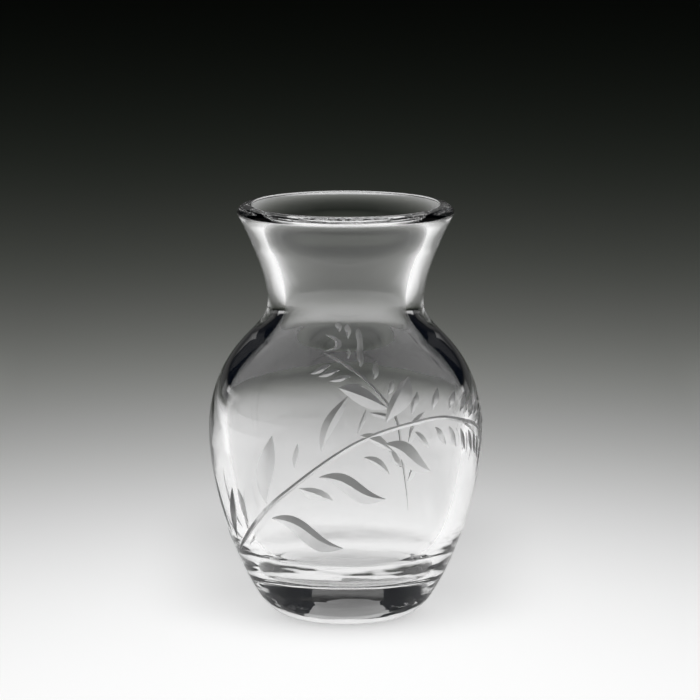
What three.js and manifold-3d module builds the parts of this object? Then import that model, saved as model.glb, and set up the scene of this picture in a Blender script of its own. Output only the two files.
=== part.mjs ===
// Posy vase of clear crystal: one thick-walled piece of glass with a round belly, a drawn-in
// neck, a flared mouth and leaf sprays cut into the outside with a mitre wheel.
// Millimetres, +Z up. The origin is the centre of the foot, and the main spray faces -Y.

import * as THREE from 'three';
import { mergeVertices, toCreasedNormals } from 'three/addons/utils/BufferGeometryUtils.js';
import Module from 'manifold-3d';

const wasm = await Module();
wasm.setup();

// Outside of the glass
const HEIGHT = 115;
const FOOT_RADIUS = 14;
const HEEL_RADIUS = 23.7;
const HEEL_HEIGHT = 5.8;
const HEEL_LEAN = 34;
const BELLY_RADIUS = 37.9;
const BELLY_HEIGHT = 52;
const SHOULDER_RADIUS = 28.2;
const SHOULDER_HEIGHT = 77.6;
const SHOULDER_LEAN = -43;
const BEND_RADIUS = 21.9;
const BEND_HEIGHT = 85.6;
const BEND_LEAN = -19.3;
const LIP_RADIUS = 29.9;
const LIP_DEPTH = 2.4;
const LIP_LEAN = 23.6;

// The hollow: where its stations lie, the level thickness of the glass there, and their leans.
// Its slope is under the shoulder, its neck above the bend, its throat below the rim.
const FLOOR_THICKNESS = 12.6;
const FLOOR_RADIUS = 20;
const COVE_RISE = 8;
const COVE_WALL = 6.5;
const COVE_LEAN = 36;
const BULGE_DROP = 3;
const BULGE_WALL = 4.8;
const BULGE_LEAN = 5.7;
const SLOPE_DROP = 1.4;
const SLOPE_WALL = 6.3;
const SLOPE_LEAN = -48.8;
const NECK_RISE = 1.1;
const NECK_WALL = 4.9;
const NECK_LEAN = -6.4;
const THROAT_DEPTH = 11.6;
const THROAT_WALL = 5;
const THROAT_LEAN = 22.8;
const LIP_WALL = 4;
const MOUTH_LEAN = 44;
const RIM_WIDTH = 0.6;
const RIM_ROUND = 0.4;

// How far each stretch of the profile keeps to the lean of its lower and its upper station, as
// shares of the distance between them.
const FOOT_TO_HEEL = [0.34, 0.42];
const HEEL_TO_BELLY = [0.34, 0.26];
const BELLY_TO_SHOULDER = [0.4, 0.32];
const SHOULDER_TO_BEND = [0.29, 0.3];
const BEND_TO_LIP = [0.27, 0.05];
const FLOOR_TO_COVE = [0.46, 0.31];
const COVE_TO_BULGE = [0.26, 0.17];
const BULGE_TO_SLOPE = [0.31, 0.5];
const SLOPE_TO_NECK = [0.23, 0.39];
const NECK_TO_THROAT = [0.3, 0.38];
const THROAT_TO_MOUTH = [0.31, 0.29];

// Wheel cuts
const MITRE_SLOPE = 0.4;
const STEM_WIDTHS = [1.4, 0.8];
const BACK_STEM_WIDTHS = [0.7, 1.1];
const FERN_ANGLE = 54;
const FERN_LENGTH = 6.7;
const FERN_WIDTH = 2;
const FERN_PITCH = 4.2;
const FERN_GAP = 2.3;
const LEFT_PEAK = 0.42;
const RIGHT_PEAK = 0.58;
const CUTTER_RISE = 0.6;
const CUTTER_END = 0.04;

// Fineness of the facets and of the measuring
const TURN_STEPS = 60;
const LIP_STEPS = 4;
const RIM_STEPS = 2;
const CHORD_ERROR = 0.12;
const TURN_SAMPLES = 12;
const RING_PITCH = 2.4;
const LEAST_RINGS = 4;
const RINGS_PER_SPAN = 4;
const CREASE = 14;
const SLOPE_PROBE = 0.1;
const STEM_PROBE = 0.01;
const WELD = 1e-4;
const HALVING_END = 1e-7;

// The sprays are drawn on the unrolled wall. A place there is an angle from the front, in
// degrees towards +X, and a height above the belly line.
const MAIN_STEM = [
  [-72, -33], [-52, -25], [-27, -12], [6, 3.3], [38, 8], [60, 5.8], [74, 2.4], [88, -4],
];
const BACK_STEM = [[141, -29], [149, -17.5], [156, -3.5], [170, 10.7], [183, 17.5], [192, 20]];

// The stretch of each stem that carries the small fern leaves, in shares of the stem.
const MAIN_FERN = [0.53, 0.9];
const BACK_FERN = [0.5, 0.85];

// Each leaf has a base, a tip, the widths of its left and right facets, and how far its rib
// bends to the left at the middle and sways left then right.
const MAIN_LEAVES = [
  { base: [-36.5, -15.5], tip: [-32, 4], left: 2.8, right: 2.6, bend: 0.8 },
  { base: [-21.5, -4.5], tip: [-20, 2.5], left: 0.8, right: 0.6 },
  { base: [-10, 0.5], tip: [1.5, 15.5], left: 1.7, right: 1.6, bend: 1.3 },
  { base: [18.5, 12], tip: [-4, 17.5], left: 2.4, right: 1.9, bend: -0.7 },
  { base: [17, 8], tip: [32, 19.5], left: 1.6, right: 3.1, bend: 0.6 },
  { base: [5, 5.3], tip: [9, 12], left: 0.5, right: 0.6 },
  { base: [6, 5], tip: [19.7, 0.3], left: 1.6, right: 0.9, bend: 0.5 },
  { base: [16.2, 2.4], tip: [38, -6.3], left: 2.6, right: 2.4, bend: 0.4, sway: 0.5 },
  { base: [7.5, -1], tip: [18.6, -6], left: 1.3, right: 0.9, bend: 0.6 },
  { base: [-11, -6.6], tip: [17.8, -13], left: 2.5, right: 2.4, sway: 0.8 },
  { base: [-35, -19.5], tip: [0, -27], left: 2.8, right: 2.6, sway: 1 },
  { base: [-50.5, -22], tip: [-53.5, -12.5], left: 1.2, right: 1.2 },
  { base: [-66, -28], tip: [-58.5, -12.5], left: 1.7, right: 1.7 },
  { base: [-72, -27], tip: [-78, -10], left: 1.8, right: 1.6, bend: 0.6 },
  { base: [-76, -31], tip: [-92, -20], left: 1.8, right: 1.8, bend: 0.8 },
];
const BACK_LEAVES = [
  { base: [147, -13], tip: [139, -1], left: 1.8, right: 1.8, bend: -0.6 },
  { base: [154, 2.5], tip: [149, 12], left: 1.8, right: 1.8, bend: -0.6 },
  { base: [157, -4.5], tip: [169, -2.5], left: 1, right: 1.2 },
  { base: [148, -19], tip: [158, -14], left: 1.3, right: 1.1, bend: -0.5 },
  { base: [145, -22], tip: [138, -15], left: 1.2, right: 1.2 },
  { base: [187, -27.5], tip: [206, -24], left: 1.4, right: 1.5 },
];

const CRYSTAL = { color: 0xf4f6f5, roughness: 0.02, metalness: 0, transparent: true, opacity: 0.35 };

const radians = THREE.MathUtils.degToRad;

// A station is a point of an outline: its radius, its height and the lean of the wall there,
// in degrees from upright, outward positive.
function station(radius, height, lean) {
  const along = new THREE.Vector2(Math.sin(radians(lean)), Math.cos(radians(lean)));
  return { at: new THREE.Vector2(radius, height), along };
}

// The curve between two stations keeps to the lean of each for a share of their distance.
function sweep(from, to, [keepFrom, keepTo]) {
  const reach = from.at.distanceTo(to.at);
  const leave = from.at.clone().addScaledVector(from.along, keepFrom * reach);
  const arrive = to.at.clone().addScaledVector(to.along, -keepTo * reach);
  return new THREE.CubicBezierCurve(from.at, leave, arrive, to.at);
}

const foot = station(FOOT_RADIUS, 0, 90);
const heel = station(HEEL_RADIUS, HEEL_HEIGHT, HEEL_LEAN);
const belly = station(BELLY_RADIUS, BELLY_HEIGHT, 0);
const shoulder = station(SHOULDER_RADIUS, SHOULDER_HEIGHT, SHOULDER_LEAN);
const bend = station(BEND_RADIUS, BEND_HEIGHT, BEND_LEAN);
const lip = station(LIP_RADIUS, HEIGHT - LIP_DEPTH, LIP_LEAN);

const footCurve = sweep(foot, heel, FOOT_TO_HEEL);
const outerCurves = [
  sweep(heel, belly, HEEL_TO_BELLY),
  sweep(belly, shoulder, BELLY_TO_SHOULDER),
  sweep(shoulder, bend, SHOULDER_TO_BEND),
  sweep(bend, lip, BEND_TO_LIP),
];

// Radius of the outside at a height between the heel and the lip, by halving the interval.
function radiusAt(height) {
  const curve = outerCurves.find((piece) => height <= piece.v3.y) ?? outerCurves.at(-1);
  let low = 0;
  let high = 1;
  while (high - low > HALVING_END) {
    const middle = (low + high) / 2;
    if (curve.getPoint(middle).y < height) {
      low = middle;
    } else {
      high = middle;
    }
  }
  return curve.getPoint(low).x;
}

// A station of the hollow, at a thickness of glass behind the outside at its height.
function inside(height, wall, lean) {
  return station(radiusAt(height) - wall, height, lean);
}

const hollowFloor = station(FLOOR_RADIUS, FLOOR_THICKNESS, 90);
const cove = inside(FLOOR_THICKNESS + COVE_RISE, COVE_WALL, COVE_LEAN);
const bulge = inside(BELLY_HEIGHT - BULGE_DROP, BULGE_WALL, BULGE_LEAN);
const slope = inside(SHOULDER_HEIGHT - SLOPE_DROP, SLOPE_WALL, SLOPE_LEAN);
const neck = inside(BEND_HEIGHT + NECK_RISE, NECK_WALL, NECK_LEAN);
const throat = inside(HEIGHT - THROAT_DEPTH, THROAT_WALL, THROAT_LEAN);
const mouth = station(LIP_RADIUS - LIP_WALL, HEIGHT - RIM_ROUND, MOUTH_LEAN);

const innerCurves = [
  sweep(hollowFloor, cove, FLOOR_TO_COVE),
  sweep(cove, bulge, COVE_TO_BULGE),
  sweep(bulge, slope, BULGE_TO_SLOPE),
  sweep(slope, neck, SLOPE_TO_NECK),
  sweep(neck, throat, NECK_TO_THROAT),
  sweep(throat, mouth, THROAT_TO_MOUTH),
];

// Points along a curve after its first, close enough for the chords to follow it.
function curvePoints(curve) {
  let turn = 0;
  for (let sample = 1; sample <= TURN_SAMPLES; sample += 1) {
    const before = curve.getTangent((sample - 1) / TURN_SAMPLES);
    turn += before.angleTo(curve.getTangent(sample / TURN_SAMPLES));
  }
  const steps = Math.ceil(Math.sqrt((curve.getLength() * turn) / (8 * CHORD_ERROR)));
  return curve.getPoints(steps).slice(1);
}

// The lip slopes up from its widest ring to the crest of the rim, which rounds into the mouth.
function lipPoints() {
  const crest = mouth.at.x + RIM_WIDTH;
  const points = [];
  for (let step = 1; step <= LIP_STEPS; step += 1) {
    const turn = ((Math.PI / 2) * step) / LIP_STEPS;
    const radius = crest + (lip.at.x - crest) * Math.cos(turn);
    points.push(new THREE.Vector2(radius, lip.at.y + LIP_DEPTH * Math.sin(turn)));
  }
  for (let step = 1; step < RIM_STEPS; step += 1) {
    const turn = ((Math.PI / 2) * step) / RIM_STEPS;
    const height = mouth.at.y + RIM_ROUND * Math.cos(turn);
    points.push(new THREE.Vector2(crest - RIM_WIDTH * Math.sin(turn), height));
  }
  return points;
}

// The whole profile, from the middle of the foot round the lip to the middle of the hollow.
function profilePoints() {
  const underside = [new THREE.Vector2(0, 0), foot.at, ...curvePoints(footCurve)];
  const outside = outerCurves.flatMap(curvePoints);
  const hollow = innerCurves.flatMap(curvePoints).reverse();
  const floor = [hollowFloor.at, new THREE.Vector2(0, FLOOR_THICKNESS)];
  return [...underside, ...outside, ...lipPoints(), ...hollow, ...floor];
}

function solidFrom(geometry) {
  geometry.deleteAttribute('normal');
  geometry.deleteAttribute('uv');
  const merged = mergeVertices(geometry, WELD);
  const vertProperties = new Float32Array(merged.attributes.position.array);
  const triVerts = new Uint32Array(merged.index.array);
  return new wasm.Manifold(new wasm.Mesh({ numProp: 3, vertProperties, triVerts }));
}

function geometryFrom(solid) {
  const mesh = solid.getMesh();
  const geometry = new THREE.BufferGeometry();
  geometry.setAttribute('position', new THREE.BufferAttribute(mesh.vertProperties, 3));
  geometry.setIndex(new THREE.BufferAttribute(mesh.triVerts, 1));
  return toCreasedNormals(geometry, radians(CREASE));
}

// The blank is the uncut vase, as it leaves the furnace.
function blank() {
  const lathe = new THREE.LatheGeometry(profilePoints(), TURN_STEPS);
  lathe.rotateX(Math.PI / 2);
  return solidFrom(lathe);
}

// The point on the glass at a place of the unrolled wall, or above the glass by a lift.
function wallPoint(place, lift) {
  const height = BELLY_HEIGHT + place.y;
  const widening = radiusAt(height + SLOPE_PROBE) - radiusAt(height - SLOPE_PROBE);
  const tilt = Math.atan2(widening, 2 * SLOPE_PROBE);
  const out = radiusAt(height) + lift * Math.cos(tilt);
  const up = height - lift * Math.sin(tilt);
  const turn = radians(place.x);
  return new THREE.Vector3(out * Math.sin(turn), -out * Math.cos(turn), up);
}

// Moves a place by true lengths ahead along a heading and aside to its left. The heading is
// itself in true lengths.
function moved(place, heading, ahead, aside) {
  const lengthPerDegree = radians(1) * radiusAt(BELLY_HEIGHT + place.y);
  const right = heading.x * ahead - heading.y * aside;
  const up = heading.y * ahead + heading.x * aside;
  return new THREE.Vector2(place.x + right / lengthPerDegree, place.y + up);
}

// The true heading from one place to another.
function headingTo(from, to) {
  const lengthPerDegree = radians(1) * radiusAt(BELLY_HEIGHT + (from.y + to.y) / 2);
  return new THREE.Vector2((to.x - from.x) * lengthPerDegree, to.y - from.y);
}

// A mitre cut is a long V. Each ring of its cutter has the bottom of the V, then the left and
// right edges, carried on at the same slope to above the glass.
function mitreCutter(rings) {
  const positions = [];
  for (const ring of rings) {
    const widen = 1 + CUTTER_RISE / ring.depth;
    const leftEdge = moved(ring.place, ring.heading, 0, ring.left * widen);
    const rightEdge = moved(ring.place, ring.heading, 0, -ring.right * widen);
    positions.push(...wallPoint(ring.place, -ring.depth).toArray());
    positions.push(...wallPoint(leftEdge, CUTTER_RISE).toArray());
    positions.push(...wallPoint(rightEdge, CUTTER_RISE).toArray());
  }
  const last = 3 * (rings.length - 1);
  const faces = [0, 2, 1, last, last + 1, last + 2];
  for (let row = 0; row < last; row += 3) {
    for (let side = 0; side < 3; side += 1) {
      const here = row + side;
      const beside = row + ((side + 1) % 3);
      faces.push(here, beside, here + 3, beside, beside + 3, here + 3);
    }
  }
  const geometry = new THREE.BufferGeometry();
  geometry.setAttribute('position', new THREE.BufferAttribute(new Float32Array(positions), 3));
  geometry.setIndex(faces);
  return solidFrom(geometry);
}

// A facet swells from nothing at the base to its full width at the peak and back at the tip.
function swell(share, peak) {
  return Math.sin(Math.PI * share ** (Math.log(0.5) / Math.log(peak)));
}

function leafCutter({ base, tip, left, right, bend = 0, sway = 0 }) {
  const from = new THREE.Vector2(...base);
  const whole = headingTo(from, new THREE.Vector2(...tip));
  const length = whole.length();
  const heading = whole.clone().normalize();
  const ribAt = (share) => {
    const aside = bend * Math.sin(Math.PI * share) + sway * Math.sin(2 * Math.PI * share);
    return moved(from, heading, length * share, aside);
  };
  const steps = Math.max(LEAST_RINGS, Math.round(length / RING_PITCH));
  const rings = [];
  for (let step = 0; step <= steps; step += 1) {
    const share = step / steps;
    const ringLeft = CUTTER_END + left * swell(share, LEFT_PEAK);
    const ringRight = CUTTER_END + right * swell(share, RIGHT_PEAK);
    const depth = (MITRE_SLOPE * (ringLeft + ringRight)) / 2;
    rings.push({ place: ribAt(share), heading, left: ringLeft, right: ringRight, depth });
  }
  return mitreCutter(rings);
}

function stemCurve(places) {
  return new THREE.SplineCurve(places.map((place) => new THREE.Vector2(...place)));
}

// A stem widens over its first span, changes from its root width to its tip width, and runs out
// to a point over its last span.
function stemCutter(stem, [rootWidth, tipWidth]) {
  const spans = stem.points.length - 1;
  const steps = spans * RINGS_PER_SPAN;
  const rings = [];
  for (let step = 0; step <= steps; step += 1) {
    const share = step / steps;
    const back = stem.getPoint(Math.max(0, share - STEM_PROBE));
    const ahead = stem.getPoint(Math.min(1, share + STEM_PROBE));
    const heading = headingTo(back, ahead).normalize();
    const taper = Math.min(1, share * spans, (1 - share) * spans);
    const width = rootWidth + (tipWidth - rootWidth) * share;
    const half = CUTTER_END + (width / 2) * taper;
    const depth = 2 * MITRE_SLOPE * half;
    rings.push({ place: stem.getPoint(share), heading, left: half, right: half, depth });
  }
  return mitreCutter(rings);
}

// A fern is a run of small leaves on both sides of a stem, at equal pitches.
function fernLeaves(stem, [from, to]) {
  const run = headingTo(stem.getPoint(from), stem.getPoint(to)).length();
  const count = Math.floor(run / FERN_PITCH) + 1;
  const across = Math.sin(radians(FERN_ANGLE)) * FERN_LENGTH;
  const ahead = Math.cos(radians(FERN_ANGLE)) * FERN_LENGTH;
  const half = FERN_WIDTH / 2;
  const leaves = [];
  for (let index = 0; index < count; index += 1) {
    const share = from + ((to - from) * index) / (count - 1);
    const place = stem.getPoint(share);
    const heading = headingTo(place, stem.getPoint(share + STEM_PROBE)).normalize();
    for (const side of [1, -1]) {
      const base = moved(place, heading, 0, side * FERN_GAP);
      const tip = moved(base, heading, ahead, side * across);
      leaves.push({ base: base.toArray(), tip: tip.toArray(), left: half, right: half });
    }
  }
  return leaves;
}

function allCutters() {
  const mainStem = stemCurve(MAIN_STEM);
  const backStem = stemCurve(BACK_STEM);
  const ferns = [...fernLeaves(mainStem, MAIN_FERN), ...fernLeaves(backStem, BACK_FERN)];
  const leaves = [...MAIN_LEAVES, ...BACK_LEAVES, ...ferns].map(leafCutter);
  const stems = [stemCutter(mainStem, STEM_WIDTHS), stemCutter(backStem, BACK_STEM_WIDTHS)];
  return [...stems, ...leaves];
}

function vaseBody() {
  let solid = blank();
  for (const cutter of allCutters()) {
    solid = solid.subtract(cutter);
  }
  const material = new THREE.MeshStandardMaterial(CRYSTAL);
  const mesh = new THREE.Mesh(geometryFrom(solid), material);
  mesh.name = 'vase_body';
  return mesh;
}

const vase = new THREE.Group();
vase.add(vaseBody());

export default vase;
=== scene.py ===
import math

import bpy
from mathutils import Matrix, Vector, kdtree


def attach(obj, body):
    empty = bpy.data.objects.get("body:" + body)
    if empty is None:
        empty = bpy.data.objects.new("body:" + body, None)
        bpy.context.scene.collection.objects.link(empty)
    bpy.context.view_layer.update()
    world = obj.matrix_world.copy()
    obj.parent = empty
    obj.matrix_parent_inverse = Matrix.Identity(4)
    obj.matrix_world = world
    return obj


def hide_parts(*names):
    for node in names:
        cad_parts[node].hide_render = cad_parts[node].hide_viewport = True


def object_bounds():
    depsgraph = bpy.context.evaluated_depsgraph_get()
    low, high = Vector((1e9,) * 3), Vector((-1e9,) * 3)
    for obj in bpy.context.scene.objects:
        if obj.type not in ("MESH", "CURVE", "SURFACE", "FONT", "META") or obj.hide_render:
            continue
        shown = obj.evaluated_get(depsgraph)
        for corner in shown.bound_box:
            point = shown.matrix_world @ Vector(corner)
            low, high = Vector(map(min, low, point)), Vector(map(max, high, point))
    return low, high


# A posy vase of clear crystal with satin wheel-cut leaf sprays, on a pale floor that falls off
# into the dark. Sizes are in millimetres until a mesh is made, and MM turns them into metres;
# only the depths and stretches of the bumps in the glass are in metres and per metre.

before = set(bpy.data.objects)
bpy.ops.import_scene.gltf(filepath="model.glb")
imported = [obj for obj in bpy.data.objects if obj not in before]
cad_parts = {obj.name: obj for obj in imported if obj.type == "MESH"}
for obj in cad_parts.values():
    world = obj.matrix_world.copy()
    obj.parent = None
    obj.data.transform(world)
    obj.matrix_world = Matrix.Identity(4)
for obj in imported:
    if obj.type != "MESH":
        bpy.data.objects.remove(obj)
cad_low, cad_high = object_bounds()
MM = 0.001

# Outside of the glass
HEIGHT = cad_high.z / MM
BELLY_RADIUS = cad_high.x / MM
FOOT_RADIUS = 14
HEEL_RADIUS = 23.7
HEEL_HEIGHT = 5.8
HEEL_LEAN = 34
BELLY_HEIGHT = 52
SHOULDER_RADIUS = 28.2
SHOULDER_HEIGHT = 77.6
SHOULDER_LEAN = -43
BEND_RADIUS = 21.9
BEND_HEIGHT = 85.6
BEND_LEAN = -19.3
LIP_RADIUS = 29.9
LIP_DEPTH = 2.4
LIP_LEAN = 23.6

# The hollow: where its stations lie, the level thickness of the glass there, and their leans
FLOOR_THICKNESS = 12.6
FLOOR_RADIUS = 20
COVE_RISE = 8
COVE_WALL = 6.5
COVE_LEAN = 36
BULGE_DROP = 3
BULGE_WALL = 4.8
BULGE_LEAN = 5.7
SLOPE_DROP = 1.4
SLOPE_WALL = 6.3
SLOPE_LEAN = -48.8
NECK_RISE = 1.1
NECK_WALL = 4.9
NECK_LEAN = -6.4
THROAT_DEPTH = 11.6
THROAT_WALL = 5
THROAT_LEAN = 22.8
LIP_WALL = 4
MOUTH_LEAN = 44
RIM_WIDTH = 0.6
RIM_ROUND = 0.4

# How far each stretch of the profile keeps to the lean of its lower and its upper station, as
# shares of the distance between them.
FOOT_TO_HEEL = (0.34, 0.42)
HEEL_TO_BELLY = (0.34, 0.26)
BELLY_TO_SHOULDER = (0.4, 0.32)
SHOULDER_TO_BEND = (0.29, 0.3)
BEND_TO_LIP = (0.27, 0.05)
FLOOR_TO_COVE = (0.46, 0.31)
COVE_TO_BULGE = (0.26, 0.17)
BULGE_TO_SLOPE = (0.31, 0.5)
SLOPE_TO_NECK = (0.23, 0.39)
NECK_TO_THROAT = (0.3, 0.38)
THROAT_TO_MOUTH = (0.31, 0.29)

# Wheel cuts. Peaks are shares of a leaf, and the fern stretches are shares of their stems.
MITRE_SLOPE = 0.4
STEM_WIDTHS = (1.4, 0.8)
BACK_STEM_WIDTHS = (0.7, 1.1)
FERN_ANGLE = 54
FERN_LENGTH = 6.7
FERN_WIDTH = 2
FERN_PITCH = 4.2
FERN_GAP = 2.3
CUTTER_RISE = 0.6
CUTTER_END = 0.04
LEFT_PEAK = 0.42
RIGHT_PEAK = 0.58
MAIN_FERN = (0.53, 0.9)
BACK_FERN = (0.5, 0.85)

# Fineness of the mesh, and the small steps by which a slope or a heading is measured
TURN_STEPS = 256
PROFILE_PITCH = 0.8
LIP_STEPS = 20
RIM_STEPS = 10
FLAT_STEPS = 8
RING_PITCH = 0.6
LEAST_RINGS = 8
LEAST_STEPS = 6
STEPS_PER_SPAN = 24
SLOPE_PROBE = 0.1
STEM_PROBE = 0.01

# A face is part of a cut when it leans this many degrees from the turned form
CUT_ANGLE = 7
ON_AXIS = 1e-6
TINY = 1e-9

# Places on the wall are degrees round from the front, and millimetres up from the widest ring.
MAIN_STEM = [(-72, -33), (-52, -25), (-27, -12), (6, 3.3), (38, 8), (60, 5.8), (74, 2.4), (88, -4)]
BACK_STEM = [(141, -29), (149, -17.5), (156, -3.5), (170, 10.7), (183, 17.5), (192, 20)]

# Each leaf: base, tip, width of its left and right facets, bend and sway of its rib.
MAIN_LEAVES = [
    ((-36.5, -15.5), (-32, 4), 2.8, 2.6, 0.8, 0),
    ((-21.5, -4.5), (-20, 2.5), 0.8, 0.6, 0, 0),
    ((-10, 0.5), (1.5, 15.5), 1.7, 1.6, 1.3, 0),
    ((18.5, 12), (-4, 17.5), 2.4, 1.9, -0.7, 0),
    ((17, 8), (32, 19.5), 1.6, 3.1, 0.6, 0),
    ((5, 5.3), (9, 12), 0.5, 0.6, 0, 0),
    ((6, 5), (19.7, 0.3), 1.6, 0.9, 0.5, 0),
    ((16.2, 2.4), (38, -6.3), 2.6, 2.4, 0.4, 0.5),
    ((7.5, -1), (18.6, -6), 1.3, 0.9, 0.6, 0),
    ((-11, -6.6), (17.8, -13), 2.5, 2.4, 0, 0.8),
    ((-35, -19.5), (0, -27), 2.8, 2.6, 0, 1),
    ((-50.5, -22), (-53.5, -12.5), 1.2, 1.2, 0, 0),
    ((-66, -28), (-58.5, -12.5), 1.7, 1.7, 0, 0),
    ((-72, -27), (-78, -10), 1.8, 1.6, 0.6, 0),
    ((-76, -31), (-92, -20), 1.8, 1.8, 0.8, 0),
]
BACK_LEAVES = [
    ((147, -13), (139, -1), 1.8, 1.8, -0.6, 0),
    ((154, 2.5), (149, 12), 1.8, 1.8, -0.6, 0),
    ((157, -4.5), (169, -2.5), 1, 1.2, 0, 0),
    ((148, -19), (158, -14), 1.3, 1.1, -0.5, 0),
    ((145, -22), (138, -15), 1.2, 1.2, 0, 0),
    ((187, -27.5), (206, -24), 1.4, 1.5, 0, 0),
]

# Glass: how it bends light and lets a lamp's light by, the level streaks and the waves of the
# base in it, and the ground facets
GLASS_INDEX = 1.52
WALL_CLEARNESS = 0.94
STREAK_STRETCH = (9, 9, 230)
STREAK_STRENGTH = 0.04
STREAK_DEPTH = 0.0005
WAVE_STRETCH = (50, 50, 200)
WAVE_STRENGTH = 0.22
WAVE_DEPTH = 0.0012
WAVE_TOP = 30
WAVE_FULL = 20
GLASS_DETAIL = 2
SATIN_ROUGHNESS = 0.24
SATIN_SPREAD = 0.16
SATIN_SCATTER = 0.22
SATIN_WHITE = 0.9
GRIND_STRETCH = (2200, 2200, 2200)
GRIND_STRENGTH = 0.25
GRIND_DEPTH = 0.00006
GRIND_DETAIL = 3

# The pale floor: its brightness falls off with distance from a place in front of the vase, by
# a curve with a width, a length, a sharpness and a fall.
GLOW = 0.9975
GLOW_AHEAD = 228.8
GLOW_LENGTH = 466.5
GLOW_WIDTH = 293
GLOW_SHARPNESS = 3.758
GLOW_FALL = 1.1176

# It is darker at the foot, darker in a soft shade beside and behind the vase, which only the
# camera sees, darker in mirror reflections near the vase, and darker in front of the picture.
CONTACT_RADIUS = 22
CONTACT_FADE = 8
CONTACT_SHADE = 0.2
UNDER_SHADE = 0.4
SIDE_SHADE = 0.205
SIDE_SHADE_EDGES = (26, 62)
SIDE_SHADE_START = (-25, 45)
SIDE_SHADE_END = (100, 180)
MIRROR_RADIUS = 110
MIRROR_SHADE = 0.65
FRONT_EDGE = -115
FRONT_END = -360
FRONT_SHADE = 0.5
FLOOR_WHITE = 0.8
FLOOR_STEPS = 96
FLOOR_SPREAD = 2600
FLOOR_DROP = 0.05
FLOOR_TINTS = [
    (0.0, (0.70, 1.0, 0.65)),
    (0.03, (0.88, 1.0, 0.80)),
    (0.09, (0.953, 1.0, 0.883)),
    (0.3, (0.99, 1.0, 0.97)),
    (0.6, (1.0, 1.0, 1.0)),
]

# Out to the sides, past the edges of the picture, the floor is brighter again.
SIDE_GLOW = 0.7
SIDE_GLOW_FROM = 115
SIDE_GLOW_FULL = 165
SIDE_GLOW_FAR = (330, 480)

# All rays but the camera's own find a faint glow on the far floor, in a lane behind the vase.
FAR_GLOW = 0.05
FAR_RISE = (750, 1250)
FAR_LANE = (100, 320)

# They also see the whole floor a little brighter, up to full white.
INDIRECT_GAIN = 0.12

# The lamp over the vase lights its share of the floor, which is taken off the floor's own glow.
LAMP_AHEAD = 67.5
LAMP_HEIGHT = 442.5
LAMP_SIZE = 160
LAMP_SHARE = 0.3

# What only the glass shows round the vase: a grey card behind with a ceiling light over it, a
# pale card at either side, a low haze behind them all, and dim walls at the sides. The levels
# are pairs of a place across a panel, as a share, and a brightness.
BACK_LEFT = -355
BACK_RIGHT = 305
BACK_AWAY = 1230
BACK_BOTTOM = 200
BACK_LEVELS = [(0.0, 0.02), (0.2, 0.13), (0.6, 0.15), (1.0, 0.2)]
CEILING = 650
CEILING_NEAR = 480
CEILING_LEVELS = [
    (0.0, 0.2),
    (0.2, 0.26),
    (0.6, 0.32),
    (0.68, 0.42),
    (0.75, 0.55),
    (0.8, 0.63),
    (1.0, 0.65),
]
CARD_SIDE = 330
CARD_FRONT = 120
CARD_BACK = 385
CARD_BOTTOM = 80
CARD_TOP = 128
CARD_LEVELS = [(0.0, 0.0), (0.15, 0.5), (0.7, 0.5), (1.0, 0.0)]
CARD_ENDS = [(0.0, 1.0), (0.8, 1.0), (1.0, 0.0)]
HAZE_AWAY = 1850
HAZE_HALF = 1400
HAZE_TOP = 300
HAZE_LEVELS = [(0.0, 0.055), (0.4, 0.048), (0.75, 0.035), (1.0, 0.015)]
WALL_AWAY = 700
WALL_FRONT = -600
WALL_BACK = 300
WALL_TOP = 1500
WALL_LEVELS = [(0.0, 0.07), (1.0, 0.04)]
EVEN = [(0.0, 1.0)]
ROOM_COLOR = (0.002, 0.003, 0.0055)

# Camera, from the photograph: a long lens that looks down on the vase a little.
LENS = 270
SENSOR_WIDTH = 36
CAMERA_DISTANCE = 1431
CAMERA_HEIGHT = 311.1
CAMERA_PITCH = 9.40
CAMERA_SIDE = 1.2

# How often light may pass or turn in the thick glass
GLASS_BOUNCES = 24
MIRROR_BOUNCES = 12


def station(radius, height, lean):
    """A point of the profile and its direction there, which leans outwards from upright."""
    along = Vector((math.sin(math.radians(lean)), math.cos(math.radians(lean))))
    return Vector((radius, height)), along


def sweep(start, end, keep):
    """Points and tangents of the curve from one station to another, the first point left out."""
    (p0, t0), (p3, t3) = start, end
    reach = (p3 - p0).length
    p1, p2 = p0 + t0 * keep[0] * reach, p3 - t3 * keep[1] * reach
    steps = max(LEAST_STEPS, round(reach / PROFILE_PITCH))
    out = []
    for step in range(1, steps + 1):
        t = step / steps
        s = 1 - t
        point = s**3 * p0 + 3 * s * s * t * p1 + 3 * s * t * t * p2 + t**3 * p3
        tangent = s * s * (p1 - p0) + 2 * s * t * (p2 - p1) + t * t * (p3 - p2)
        out.append((point, tangent.normalized()))
    return out


foot = station(FOOT_RADIUS, 0, 90)
heel = station(HEEL_RADIUS, HEEL_HEIGHT, HEEL_LEAN)
belly = station(BELLY_RADIUS, BELLY_HEIGHT, 0)
shoulder = station(SHOULDER_RADIUS, SHOULDER_HEIGHT, SHOULDER_LEAN)
bend = station(BEND_RADIUS, BEND_HEIGHT, BEND_LEAN)
lip = station(LIP_RADIUS, HEIGHT - LIP_DEPTH, LIP_LEAN)

outer = [
    *sweep(heel, belly, HEEL_TO_BELLY),
    *sweep(belly, shoulder, BELLY_TO_SHOULDER),
    *sweep(shoulder, bend, SHOULDER_TO_BEND),
    *sweep(bend, lip, BEND_TO_LIP),
]


def radius_at(height):
    """Radius of the outside at a height between the heel and the lip."""
    below, above = heel[0], outer[-1][0]
    for point, _ in outer:
        if point.y >= height:
            above = point
            break
        below = point
    share = (height - below.y) / (above.y - below.y)
    return below.x + share * (above.x - below.x)


def inside(height, wall, lean):
    """A station of the hollow, at a thickness of glass behind the outside at its height."""
    return station(radius_at(height) - wall, height, lean)


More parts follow.
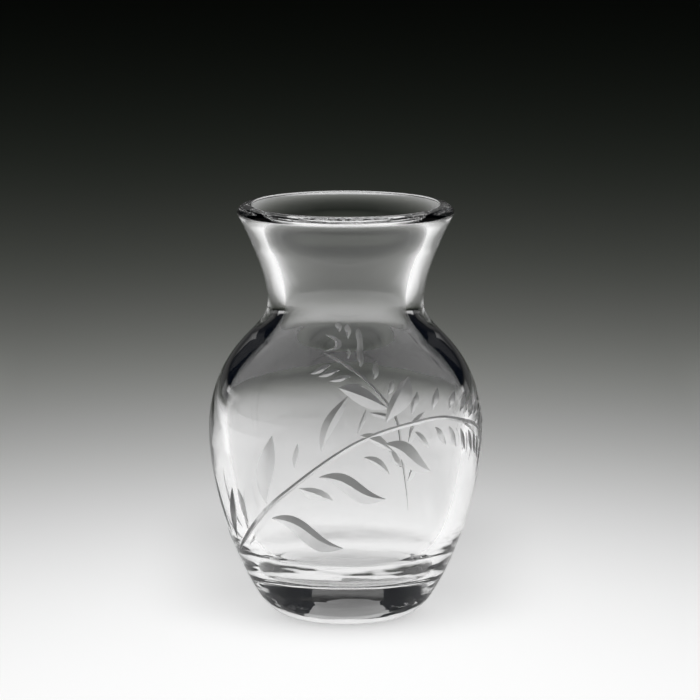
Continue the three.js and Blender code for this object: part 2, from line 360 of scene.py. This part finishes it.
floor_edge = station(FLOOR_RADIUS, FLOOR_THICKNESS, 90)
cove = inside(FLOOR_THICKNESS + COVE_RISE, COVE_WALL, COVE_LEAN)
bulge = inside(BELLY_HEIGHT - BULGE_DROP, BULGE_WALL, BULGE_LEAN)
slope = inside(SHOULDER_HEIGHT - SLOPE_DROP, SLOPE_WALL, SLOPE_LEAN)
neck = inside(BEND_HEIGHT + NECK_RISE, NECK_WALL, NECK_LEAN)
throat = inside(HEIGHT - THROAT_DEPTH, THROAT_WALL, THROAT_LEAN)
mouth = station(LIP_RADIUS - LIP_WALL, HEIGHT - RIM_ROUND, MOUTH_LEAN)

inner = [
    *sweep(floor_edge, cove, FLOOR_TO_COVE),
    *sweep(cove, bulge, COVE_TO_BULGE),
    *sweep(bulge, slope, BULGE_TO_SLOPE),
    *sweep(slope, neck, SLOPE_TO_NECK),
    *sweep(neck, throat, NECK_TO_THROAT),
    *sweep(throat, mouth, THROAT_TO_MOUTH),
]


def quarter_round(middle, across, up, turns):
    """A quarter of an ellipse about a middle, as points and tangents."""
    out = []
    for turn in turns:
        point = middle + Vector((across * math.cos(turn), up * math.sin(turn)))
        tangent = Vector((-across * math.sin(turn), up * math.cos(turn)))
        out.append((point, tangent.normalized()))
    return out


def rim_points():
    """The lip slopes up from its widest ring to the crest of the rim, which rounds into the mouth."""
    quarter = math.pi / 2
    rise = [quarter * step / LIP_STEPS for step in range(1, LIP_STEPS + 1)]
    fall = [quarter + quarter * step / RIM_STEPS for step in range(1, RIM_STEPS)]
    crest_radius = mouth[0].x + RIM_WIDTH
    over_lip = Vector((crest_radius, lip[0].y))
    over_mouth = Vector((crest_radius, mouth[0].y))
    return [
        *quarter_round(over_lip, lip[0].x - crest_radius, LIP_DEPTH, rise),
        *quarter_round(over_mouth, RIM_WIDTH, RIM_ROUND, fall),
    ]


def flat_run(radius, height, inward):
    """Points and tangents along a level floor, out to its edge or in to near its middle."""
    shares = [step / FLAT_STEPS for step in range(1, FLAT_STEPS + 1)]
    if inward:
        return [(Vector((radius * (1 - share), height)), Vector((-1, 0))) for share in shares[:-1]]
    return [(Vector((radius * share, height)), Vector((1, 0))) for share in shares]


def whole_profile():
    """Points and tangents from near the middle of the foot round the lip to the hollow's middle."""
    underside = [*flat_run(FOOT_RADIUS, 0, False), *sweep(foot, heel, FOOT_TO_HEEL)]
    hollow = [(point, -tangent) for point, tangent in reversed(inner)]
    floor = [(floor_edge[0], Vector((-1, 0))), *flat_run(FLOOR_RADIUS, FLOOR_THICKNESS, True)]
    return [*underside, *outer, *rim_points(), *hollow, *floor]


profile = whole_profile()


def mesh_object(name, verts, faces):
    mesh = bpy.data.meshes.new(name)
    mesh.from_pydata([MM * v for v in verts], [], faces)
    mesh.validate()
    obj = bpy.data.objects.new(name, mesh)
    bpy.context.scene.collection.objects.link(obj)
    return obj


def turned(name):
    """The uncut vase, turned from the profile, closed by a fan at each end."""
    verts = []
    for point, _ in profile:
        for step in range(TURN_STEPS):
            turn = 2 * math.pi * step / TURN_STEPS
            verts.append(Vector((point.x * math.sin(turn), -point.x * math.cos(turn), point.y)))
    faces = []
    for row in range(len(profile) - 1):
        for step in range(TURN_STEPS):
            here, beside = row * TURN_STEPS + step, row * TURN_STEPS + (step + 1) % TURN_STEPS
            faces.append((here, beside, beside + TURN_STEPS, here + TURN_STEPS))
    under, floor = len(verts), len(verts) + 1
    verts += [Vector((0, 0, 0)), Vector((0, 0, FLOOR_THICKNESS))]
    last = (len(profile) - 1) * TURN_STEPS
    for step in range(TURN_STEPS):
        after = (step + 1) % TURN_STEPS
        faces.append((under, after, step))
        faces.append((floor, last + step, last + after))
    return mesh_object(name, verts, faces)


def wall_point(place, lift):
    """The point at a lift from the outside, over a place in degrees round and millimetres up."""
    height = BELLY_HEIGHT + place.y
    slope = (radius_at(height + SLOPE_PROBE) - radius_at(height - SLOPE_PROBE)) / (2 * SLOPE_PROBE)
    tilt = math.atan(slope)
    out = radius_at(height) + lift * math.cos(tilt)
    turn = math.radians(place.x)
    return Vector((out * math.sin(turn), -out * math.cos(turn), height - lift * math.sin(tilt)))


def moved(place, heading, ahead, aside):
    """A place moved ahead and to the left of a heading, in millimetres along the wall."""
    per_degree = math.radians(1) * radius_at(BELLY_HEIGHT + place.y)
    right = heading.x * ahead - heading.y * aside
    up = heading.y * ahead + heading.x * aside
    return Vector((place.x + right / per_degree, place.y + up))


def heading_to(start, end):
    """The way from one place to another, in millimetres along the wall."""
    per_degree = math.radians(1) * radius_at(BELLY_HEIGHT + (start.y + end.y) / 2)
    return Vector(((end.x - start.x) * per_degree, end.y - start.y))


def mitre_cutter(rings):
    """A long V with its bottom below the glass and its edges carried on above it."""
    verts = []
    for place, heading, left, right, depth in rings:
        widen = 1 + CUTTER_RISE / depth
        verts.append(wall_point(place, -depth))
        verts.append(wall_point(moved(place, heading, 0, left * widen), CUTTER_RISE))
        verts.append(wall_point(moved(place, heading, 0, -right * widen), CUTTER_RISE))
    last = 3 * (len(rings) - 1)
    faces = [(0, 2, 1), (last, last + 1, last + 2)]
    for row in range(0, last, 3):
        for side in range(3):
            here, beside = row + side, row + (side + 1) % 3
            faces.append((here, beside, beside + 3, here + 3))
    return verts, faces


def swell(share, peak):
    """Width of a facet along its leaf: nothing at both ends and whole at its peak."""
    return math.sin(math.pi * share ** (math.log(0.5) / math.log(peak)))


def leaf_cutter(base, tip, left, right, bend, sway):
    """A mitre cut along a rib that bends to the left at the middle and sways left then right."""
    start = Vector(base)
    whole = heading_to(start, Vector(tip))
    heading = whole.normalized()
    steps = max(LEAST_RINGS, round(whole.length / RING_PITCH))
    rings = []
    for step in range(steps + 1):
        share = step / steps
        aside = bend * math.sin(math.pi * share) + sway * math.sin(2 * math.pi * share)
        place = moved(start, heading, whole.length * share, aside)
        ring_left = CUTTER_END + left * swell(share, LEFT_PEAK)
        ring_right = CUTTER_END + right * swell(share, RIGHT_PEAK)
        depth = MITRE_SLOPE * (ring_left + ring_right) / 2
        rings.append((place, heading, ring_left, ring_right, depth))
    return mitre_cutter(rings)


def stem_place(stem, share):
    """A place along a smooth curve through the stem's points."""
    spans = len(stem) - 1
    span = min(int(share * spans), spans - 1)
    t = share * spans - span
    near = [Vector(stem[max(0, min(spans, span + k))]) for k in (-1, 0, 1, 2)]
    v0, v1 = (near[2] - near[0]) / 2, (near[3] - near[1]) / 2
    p0, p1 = near[1], near[2]
    place = (2 * t**3 - 3 * t * t + 1) * p0 + (t**3 - 2 * t * t + t) * v0
    place = place + (3 * t * t - 2 * t**3) * p1
    return place + (t**3 - t * t) * v1


def stem_heading(stem, share):
    before = stem_place(stem, max(0, share - STEM_PROBE))
    after = stem_place(stem, min(1, share + STEM_PROBE))
    return heading_to(before, after).normalized()


def stem_cutter(stem, widths):
    """A cut that goes from its root width to its tip width, and to a point at either end."""
    spans = len(stem) - 1
    steps = spans * STEPS_PER_SPAN
    rings = []
    for step in range(steps + 1):
        share = step / steps
        taper = min(1, share * spans, (1 - share) * spans)
        width = widths[0] + (widths[1] - widths[0]) * share
        half = CUTTER_END + width / 2 * taper
        place, heading = stem_place(stem, share), stem_heading(stem, share)
        rings.append((place, heading, half, half, 2 * MITRE_SLOPE * half))
    return mitre_cutter(rings)


def fern_leaves(stem, start, end):
    """Pairs of small leaves along a stretch of a stem."""
    run = heading_to(stem_place(stem, start), stem_place(stem, end)).length
    count = int(run / FERN_PITCH) + 1
    across = math.sin(math.radians(FERN_ANGLE)) * FERN_LENGTH
    ahead = math.cos(math.radians(FERN_ANGLE)) * FERN_LENGTH
    leaves = []
    for index in range(count):
        share = start + (end - start) * index / (count - 1)
        place, heading = stem_place(stem, share), stem_heading(stem, share)
        for side in (1, -1):
            base = moved(place, heading, 0, side * FERN_GAP)
            tip = moved(base, heading, ahead, side * across)
            leaves.append((base, tip, FERN_WIDTH / 2, FERN_WIDTH / 2, 0, 0))
    return leaves


def cutters():
    ferns = [*fern_leaves(MAIN_STEM, *MAIN_FERN), *fern_leaves(BACK_STEM, *BACK_FERN)]
    made = [stem_cutter(MAIN_STEM, STEM_WIDTHS), stem_cutter(BACK_STEM, BACK_STEM_WIDTHS)]
    made += [leaf_cutter(*leaf) for leaf in [*MAIN_LEAVES, *BACK_LEAVES, *ferns]]
    return [mesh_object(f"cutter_{index}", verts, faces) for index, (verts, faces) in enumerate(made)]


def cut(obj, tools):
    """Takes the cutters out of the glass and clears them away."""
    group = bpy.data.collections.new("cutters")
    for tool in tools:
        group.objects.link(tool)
    boolean = obj.modifiers.new("cuts", "BOOLEAN")
    boolean.operand_type = "COLLECTION"
    boolean.collection = group
    boolean.operation = "DIFFERENCE"
    boolean.solver = "MANIFOLD"
    graph = bpy.context.evaluated_depsgraph_get()
    mesh = bpy.data.meshes.new_from_object(obj.evaluated_get(graph))
    obj.modifiers.clear()
    obj.data = mesh
    for tool in tools:
        bpy.data.objects.remove(tool)
    bpy.data.collections.remove(group)


def true_normals(mesh):
    """Marks the faces of the cuts, and gives every other corner the normal of the turned form."""
    tree = kdtree.KDTree(len(profile))
    for index, (point, _) in enumerate(profile):
        tree.insert((point.x, point.y, 0), index)
    tree.balance()

    def turned_normal(spot):
        radius = math.hypot(spot.x, spot.y)
        if radius < ON_AXIS:
            return Vector((0, 0, -1 if spot.z < FLOOR_THICKNESS * MM / 2 else 1))
        near = tree.find_n((radius / MM, spot.z / MM, 0), 2)
        (_, i, d), (_, j, e) = near
        tangent = (profile[i][1] * e + profile[j][1] * d) / max(d + e, TINY)
        across, up = tangent.y, -tangent.x
        return Vector((across * spot.x / radius, across * spot.y / radius, up)).normalized()

    at_vertex = [turned_normal(v.co) for v in mesh.vertices]
    cut_faces = []
    for face in mesh.polygons:
        expected = turned_normal(face.center)
        is_cut = expected.dot(face.normal) < math.cos(math.radians(CUT_ANGLE))
        cut_faces.append(is_cut)
        face.material_index = 1 if is_cut else 0
        face.use_smooth = True
    normals = [None] * len(mesh.loops)
    for face, is_cut in zip(mesh.polygons, cut_faces):
        for loop in face.loop_indices:
            vertex = mesh.loops[loop].vertex_index
            normals[loop] = face.normal.copy() if is_cut else at_vertex[vertex]
    mesh.normals_split_custom_set(normals)


def new_material(name):
    material = bpy.data.materials.new(name)
    material.use_nodes = True
    tree = material.node_tree
    tree.nodes.clear()
    return material, tree


def join(tree, source, target):
    """Links a socket, or writes a plain value on the socket itself."""
    if isinstance(source, bpy.types.NodeSocket):
        tree.links.new(source, target)
    else:
        target.default_value = source


def maths(tree, operation, first, second=0.0):
    node = tree.nodes.new("ShaderNodeMath")
    node.operation = operation
    join(tree, first, node.inputs[0])
    join(tree, second, node.inputs[1])
    return node.outputs[0]


def smooth_step(tree, value, start, end, first, last):
    """Goes smoothly from a first to a last amount, while a value goes from a start to an end."""
    node = tree.nodes.new("ShaderNodeMapRange")
    node.interpolation_type = "SMOOTHSTEP"
    for index, source in enumerate((value, start, end, first, last)):
        join(tree, source, node.inputs[index])
    return node.outputs[0]


def ramp(tree, factor, stops):
    node = tree.nodes.new("ShaderNodeValToRGB")
    join(tree, factor, node.inputs["Fac"])
    while len(node.color_ramp.elements) < len(stops):
        node.color_ramp.elements.new(1)
    for element, (position, color) in zip(node.color_ramp.elements, stops):
        element.position = position
        element.color = (*color, 1)
    return node.outputs["Color"]


def noise(tree, stretch, detail):
    """Noise in the object's own space, with a scale per metre along each axis."""
    where = tree.nodes.new("ShaderNodeTexCoord")
    mapping = tree.nodes.new("ShaderNodeMapping")
    mapping.inputs["Scale"].default_value = stretch
    texture = tree.nodes.new("ShaderNodeTexNoise")
    texture.inputs["Scale"].default_value = 1
    texture.inputs["Detail"].default_value = detail
    tree.links.new(where.outputs["Object"], mapping.inputs["Vector"])
    tree.links.new(mapping.outputs["Vector"], texture.inputs["Vector"])
    return texture.outputs["Fac"]


def bump(tree, height, strength, distance, base=None):
    node = tree.nodes.new("ShaderNodeBump")
    if base is not None:
        tree.links.new(base, node.inputs["Normal"])
    node.inputs["Strength"].default_value = strength
    node.inputs["Distance"].default_value = distance
    tree.links.new(height, node.inputs["Height"])
    return node.outputs["Normal"]


def glass_shader(tree, roughness, normal):
    shader = tree.nodes.new("ShaderNodeBsdfPrincipled")
    shader.inputs["Base Color"].default_value = (1, 1, 1, 1)
    shader.inputs["IOR"].default_value = GLASS_INDEX
    shader.inputs["Transmission Weight"].default_value = 1
    join(tree, roughness, shader.inputs["Roughness"])
    join(tree, normal, shader.inputs["Normal"])
    return shader.outputs["BSDF"]


def mixed(tree, share, first, second):
    node = tree.nodes.new("ShaderNodeMixShader")
    join(tree, share, node.inputs[0])
    join(tree, first, node.inputs[1])
    join(tree, second, node.inputs[2])
    return node.outputs[0]


def finish_glass(tree, surface):
    """Lets most of a lamp's light through, so that the shadow on the floor stays soft and pale."""
    path = tree.nodes.new("ShaderNodeLightPath")
    clear = tree.nodes.new("ShaderNodeBsdfTransparent")
    clear.inputs["Color"].default_value = (WALL_CLEARNESS, WALL_CLEARNESS, WALL_CLEARNESS, 1)
    out = tree.nodes.new("ShaderNodeOutputMaterial")
    either = mixed(tree, path.outputs["Is Shadow Ray"], surface, clear.outputs[0])
    tree.links.new(either, out.inputs["Surface"])


def crystal():
    """Polished glass with the faint level streaks of a turned blank, and waves in its thick base."""
    material, tree = new_material("crystal")
    streaks = noise(tree, STREAK_STRETCH, GLASS_DETAIL)
    level = bump(tree, streaks, STREAK_STRENGTH, STREAK_DEPTH)
    where = tree.nodes.new("ShaderNodeTexCoord")
    axes = tree.nodes.new("ShaderNodeSeparateXYZ")
    tree.links.new(where.outputs["Object"], axes.inputs[0])
    low = smooth_step(tree, axes.outputs["Z"], WAVE_FULL * MM, WAVE_TOP * MM, 1, 0)
    waves = maths(tree, "MULTIPLY", noise(tree, WAVE_STRETCH, GLASS_DETAIL), low)
    normal = bump(tree, waves, WAVE_STRENGTH, WAVE_DEPTH, level)
    finish_glass(tree, glass_shader(tree, 0.0, normal))
    return material


def satin_cut():
    """Wheel-cut facets: ground glass that scatters, a little uneven from the wheel."""
    material, tree = new_material("satin_cut")
    grain = noise(tree, GRIND_STRETCH, GRIND_DETAIL)
    rough = maths(tree, "ADD", maths(tree, "MULTIPLY", grain, SATIN_SPREAD), SATIN_ROUGHNESS)
    normal = bump(tree, grain, GRIND_STRENGTH, GRIND_DEPTH)
    scatter = tree.nodes.new("ShaderNodeBsdfTranslucent")
    scatter.inputs["Color"].default_value = (SATIN_WHITE, SATIN_WHITE, SATIN_WHITE, 1)
    surface = mixed(tree, SATIN_SCATTER, glass_shader(tree, rough, normal), scatter.outputs[0])
    finish_glass(tree, surface)
    return material


vase = turned("vase")
cut(vase, cutters())
vase.data.materials.clear()
vase.data.materials.append(crystal())
vase.data.materials.append(satin_cut())
true_normals(vase.data)
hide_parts("vase_body")
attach(vase, "root")


def make_camera():
    data = bpy.data.cameras.new("camera")
    data.lens = LENS
    data.sensor_width = SENSOR_WIDTH
    camera = bpy.data.objects.new("camera", data)
    camera.location = Vector((CAMERA_SIDE, -CAMERA_DISTANCE, CAMERA_HEIGHT)) * MM
    camera.rotation_euler = (math.radians(90 - CAMERA_PITCH), 0, 0)
    bpy.context.scene.collection.objects.link(camera)
    bpy.context.scene.camera = camera


def product(tree, *factors):
    result = factors[0]
    for factor in factors[1:]:
        result = maths(tree, "MULTIPLY", result, factor)
    return result


def rest_of(tree, share):
    """What a share leaves of the whole."""
    return maths(tree, "SUBTRACT", 1, share)


def squares(tree, first, second):
    return maths(tree, "ADD", product(tree, first, first), product(tree, second, second))


def between(tree, value, edges, first, last):
    """A smooth step between two edges in millimetres."""
    return smooth_step(tree, value, edges[0] * MM, edges[1] * MM, first, last)


def floor_level(tree, y, aside, indirect):
    """How bright the floor is at a place, before any shade."""
    across = maths(tree, "DIVIDE", maths(tree, "MINIMUM", aside, SIDE_GLOW_FROM * MM), GLOW_WIDTH * MM)
    along = maths(tree, "DIVIDE", maths(tree, "ADD", y, GLOW_AHEAD * MM), GLOW_LENGTH * MM)
    square = squares(tree, across, along)
    curve = maths(tree, "ADD", maths(tree, "POWER", square, GLOW_SHARPNESS / 2), 1)
    level = product(tree, maths(tree, "POWER", curve, -GLOW_FALL), GLOW)

    outward = between(tree, aside, (SIDE_GLOW_FROM, SIDE_GLOW_FULL), 0, SIDE_GLOW)
    outward = product(tree, outward, between(tree, y, SIDE_GLOW_FAR, 1, 0))
    level = maths(tree, "MINIMUM", product(tree, level, maths(tree, "ADD", outward, 1)), 1)
    level = product(tree, level, between(tree, y, (FRONT_END, FRONT_EDGE), 1 - FRONT_SHADE, 1))

    lane = between(tree, aside, FAR_LANE, FAR_GLOW, 0)
    far = product(tree, between(tree, y, FAR_RISE, 0, 1), lane, indirect)
    level = maths(tree, "MAXIMUM", level, far)
    gain = maths(tree, "ADD", product(tree, indirect, INDIRECT_GAIN), 1)
    return maths(tree, "MINIMUM", product(tree, level, gain), 1)


def floor_shades(tree, x, y, aside, path):
    """What each of three shades leaves of the floor's brightness at a place, as shares."""
    radius = maths(tree, "SQRT", squares(tree, x, y))
    near = maths(tree, "DIVIDE", maths(tree, "SUBTRACT", radius, CONTACT_RADIUS * MM), CONTACT_FADE * MM)
    contact = product(tree, maths(tree, "EXPONENT", product(tree, near, -1)), CONTACT_SHADE)
    contact = maths(tree, "MINIMUM", contact, UNDER_SHADE)

    beside = between(tree, aside, SIDE_SHADE_EDGES, SIDE_SHADE, 0)
    started = between(tree, y, SIDE_SHADE_START, 0, 1)
    ended = between(tree, y, SIDE_SHADE_END, 1, 0)
    beside = product(tree, beside, product(tree, started, ended), path.outputs["Is Camera Ray"])

    mirrored = between(tree, radius, (CONTACT_RADIUS, MIRROR_RADIUS), MIRROR_SHADE, 0)
    mirrored = product(tree, mirrored, path.outputs["Is Reflection Ray"])
    return [rest_of(tree, shade) for shade in (contact, beside, mirrored)]


def lamp_light(tree, x, y):
    """What the lamp itself adds to the floor at a place that nothing shades."""
    along = maths(tree, "DIVIDE", maths(tree, "ADD", y, LAMP_AHEAD * MM), LAMP_HEIGHT * MM)
    across = maths(tree, "DIVIDE", x, LAMP_HEIGHT * MM)
    spread = maths(tree, "ADD", squares(tree, across, along), 1)
    return product(tree, maths(tree, "POWER", spread, -2), LAMP_SHARE)


def floor_material():
    """A pale floor that is lit most in front of the vase and falls off into the dark behind it."""
    material, tree = new_material("floor")
    where = tree.nodes.new("ShaderNodeTexCoord")
    axes = tree.nodes.new("ShaderNodeSeparateXYZ")
    tree.links.new(where.outputs["Object"], axes.inputs[0])
    x, y = axes.outputs["X"], axes.outputs["Y"]
    aside = maths(tree, "ABSOLUTE", x)
    path = tree.nodes.new("ShaderNodeLightPath")
    indirect = rest_of(tree, path.outputs["Is Camera Ray"])
    level = floor_level(tree, y, aside, indirect)
    shaded = product(tree, level, *floor_shades(tree, x, y, aside, path))
    glow = maths(tree, "MAXIMUM", maths(tree, "SUBTRACT", shaded, lamp_light(tree, x, y)), 0)

    emission = tree.nodes.new("ShaderNodeEmission")
    tree.links.new(ramp(tree, level, FLOOR_TINTS), emission.inputs["Color"])
    tree.links.new(glow, emission.inputs["Strength"])
    matt = tree.nodes.new("ShaderNodeBsdfDiffuse")
    matt.inputs["Color"].default_value = (FLOOR_WHITE, FLOOR_WHITE, FLOOR_WHITE, 1)
    both = tree.nodes.new("ShaderNodeAddShader")
    tree.links.new(emission.outputs[0], both.inputs[0])
    tree.links.new(matt.outputs[0], both.inputs[1])
    out = tree.nodes.new("ShaderNodeOutputMaterial")
    tree.links.new(both.outputs[0], out.inputs["Surface"])
    return material


def make_floor():
    mesh = bpy.data.meshes.new("floor")
    rim = []
    for step in range(FLOOR_STEPS):
        turn = 2 * math.pi * step / FLOOR_STEPS
        across, along = math.cos(turn) * FLOOR_SPREAD, math.sin(turn) * FLOOR_SPREAD
        rim.append(Vector((across, along, -FLOOR_DROP)) * MM)
    mesh.from_pydata(rim, [], [tuple(range(FLOOR_STEPS))])
    floor = bpy.data.objects.new("floor", mesh)
    bpy.context.scene.collection.objects.link(floor)
    mesh.materials.append(floor_material())


def make_panel(name, corners, levels, ends):
    """A flat glowing panel. Its levels go from its first edge to the one across, and its ends run
    the other way."""
    mesh = bpy.data.meshes.new(name)
    mesh.from_pydata([MM * Vector(corner) for corner in corners], [], [(0, 1, 2, 3)])
    shares = mesh.uv_layers.new(name="share").data
    for loop, share in zip(shares, ((0, 0), (1, 0), (1, 1), (0, 1))):
        loop.uv = share
    panel = bpy.data.objects.new(name, mesh)
    bpy.context.scene.collection.objects.link(panel)
    material, tree = new_material(name)
    where = tree.nodes.new("ShaderNodeUVMap")
    axes = tree.nodes.new("ShaderNodeSeparateXYZ")
    tree.links.new(where.outputs["UV"], axes.inputs[0])
    emission = tree.nodes.new("ShaderNodeEmission")
    glow = ramp(tree, axes.outputs["Y"], [(share, (level, level, level)) for share, level in levels])
    fade = ramp(tree, axes.outputs["X"], [(share, (level, level, level)) for share, level in ends])
    tree.links.new(glow, emission.inputs["Color"])
    tree.links.new(fade, emission.inputs["Strength"])
    out = tree.nodes.new("ShaderNodeOutputMaterial")
    tree.links.new(emission.outputs[0], out.inputs["Surface"])
    mesh.materials.append(material)
    panel.visible_camera = False
    panel.visible_diffuse = False


def upright(x0, y0, x1, y1, bottom, top):
    return [(x0, y0, bottom), (x1, y1, bottom), (x1, y1, top), (x0, y0, top)]


def make_panels():
    back = upright(BACK_LEFT, BACK_AWAY, BACK_RIGHT, BACK_AWAY, BACK_BOTTOM, CEILING)
    make_panel("card_back", back, BACK_LEVELS, EVEN)
    over = [*back[3:1:-1], (BACK_RIGHT, CEILING_NEAR, CEILING), (BACK_LEFT, CEILING_NEAR, CEILING)]
    make_panel("ceiling_light", over, CEILING_LEVELS, EVEN)
    haze = upright(-HAZE_HALF, HAZE_AWAY, HAZE_HALF, HAZE_AWAY, 0, HAZE_TOP)
    make_panel("far_haze", haze, HAZE_LEVELS, EVEN)
    for name, side in (("left", -1), ("right", 1)):
        card = upright(side * CARD_SIDE, CARD_FRONT, side * CARD_SIDE, CARD_BACK, CARD_BOTTOM, CARD_TOP)
        make_panel("card_" + name, card, CARD_LEVELS, CARD_ENDS)
        wall = upright(side * WALL_AWAY, WALL_FRONT, side * WALL_AWAY, WALL_BACK, 0, WALL_TOP)
        make_panel("wall_" + name, wall, WALL_LEVELS, EVEN)


def make_lamp():
    """A soft lamp over the vase, which casts a faint shadow and isn't seen in the glass."""
    data = bpy.data.lights.new("lamp", "AREA")
    data.shape = "DISK"
    data.size = LAMP_SIZE * MM
    data.energy = LAMP_SHARE * (math.pi * LAMP_HEIGHT * MM) ** 2 / FLOOR_WHITE
    lamp = bpy.data.objects.new("lamp", data)
    lamp.location = Vector((0, -LAMP_AHEAD, LAMP_HEIGHT)) * MM
    lamp.visible_camera = False
    lamp.visible_glossy = False
    lamp.visible_transmission = False
    bpy.context.scene.collection.objects.link(lamp)


def make_world():
    world = bpy.data.worlds.new("world")
    bpy.context.scene.world = world
    world.use_nodes = True
    world.node_tree.nodes["Background"].inputs["Color"].default_value = (*ROOM_COLOR, 1)
    world.cycles_visibility.diffuse = False


make_camera()
make_floor()
make_panels()
make_lamp()
make_world()
scene = bpy.context.scene
scene.view_settings.view_transform = "Standard"
scene.cycles.max_bounces = GLASS_BOUNCES
scene.cycles.transmission_bounces = GLASS_BOUNCES
scene.cycles.glossy_bounces = MIRROR_BOUNCES
